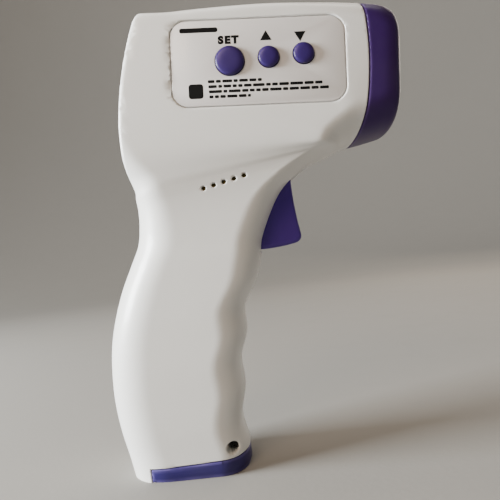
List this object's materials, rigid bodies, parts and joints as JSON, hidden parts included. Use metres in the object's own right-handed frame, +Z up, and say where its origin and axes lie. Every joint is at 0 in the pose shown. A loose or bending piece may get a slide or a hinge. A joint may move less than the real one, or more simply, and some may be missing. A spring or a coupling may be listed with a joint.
{
  "type": "infrared forehead thermometer",
  "caption": "Pistol-grip infrared thermometer with a sensor in the nose, a rear display, keys on the right flank, a trigger and a slide-off battery cover.",
  "frame": {"origin": "centre of the flat base of the handle, on the plane between the two shells", "axes": "+Z up along the handle, +X towards the nose, -Y towards the flank with the keys"},
  "size_m": [0.1085, 0.0432, 0.1538],
  "materials": {
    "white_plastic": "satin",
    "purple_plastic": "satin",
    "key_plastic": "satin",
    "label_film": "satin",
    "window": "polished",
    "lcd": "polished",
    "diffuser": "matte",
    "black_plastic": "satin",
    "board": "satin",
    "chip": "matte",
    "steel": "bright",
    "brass": "bright",
    "ceramic": "matte",
    "ribbon": "satin",
    "cell": "satin wrapper",
    "red_wire": "satin",
    "black_wire": "satin"
  },
  "bodies": {
    "housing": {"right_shell": "white_plastic", "left_shell": "white_plastic", "nose_ring": "purple_plastic", "sensor_funnel": "black_plastic", "sensor_sleeve": "steel", "thermopile_can": "steel", "thermopile_window": "window", "sensor_board": "board", "display_bezel": "purple_plastic", "display_window": "window", "lcd_glass": "lcd", "lcd_backlight": "diffuser", "lcd_board": "board", "lcd_ribbon": "ribbon", "right_label": "label_film", "left_label": "label_film", "set_switch": "chip", "up_switch": "chip", "down_switch": "chip", "main_board": "board", "microcontroller": "chip", "memory_chip": "chip", "crystal": "steel", "capacitor": "chip", "buzzer_disc": "brass", "buzzer_ceramic": "ceramic", "trigger_pin": "steel", "trigger_board": "board", "trigger_switch": "chip", "trigger_spring": "steel", "battery_rear": "cell", "battery_front": "cell", "battery_box": "black_plastic", "positive_contact": "steel", "negative_contact": "steel", "base_screw": "steel", "head_screw_rear": "steel", "head_screw_front": "steel", "board_screw_high": "steel", "board_screw_low": "steel", "battery_lead_black": "black_wire", "battery_lead_red": "red_wire", "trigger_lead": "black_wire", "sensor_lead": "red_wire", "buzzer_lead": "red_wire"},
    "trigger": {"trigger": "purple_plastic"},
    "set_button": {"set_button": "key_plastic"},
    "up_button": {"up_button": "key_plastic"},
    "down_button": {"down_button": "key_plastic"},
    "battery_cover": {"battery_cover": "key_plastic", "bridge_contact": "steel"}
  },
  "joints": [
    {"name": "trigger_pivot", "type": "hinge", "parent": "housing", "child": "trigger", "pos_m": [0.0368, 0, 0.0954], "axis": [0, 1, 0], "range_deg": [0, 6.8], "stiffness_Nm_per_rad": 0.2, "springref_deg": -4.58, "deforming": ["trigger_spring"]},
    {"name": "set_press", "type": "slide", "parent": "housing", "child": "set_button", "axis": [0, 1, 0], "range_m": [0, 0.0006], "stiffness_N_per_m": 1500, "springref_m": -0.0003},
    {"name": "up_press", "type": "slide", "parent": "housing", "child": "up_button", "axis": [0, 1, 0], "range_m": [0, 0.0006], "stiffness_N_per_m": 1500, "springref_m": -0.0003},
    {"name": "down_press", "type": "slide", "parent": "housing", "child": "down_button", "axis": [0, 1, 0], "range_m": [0, 0.0006], "stiffness_N_per_m": 1500, "springref_m": -0.0003},
    {"name": "battery_cover_slide", "type": "slide", "parent": "housing", "child": "battery_cover", "axis": [1, 0, 0], "range_m": [0, 0.036]}
  ]
}
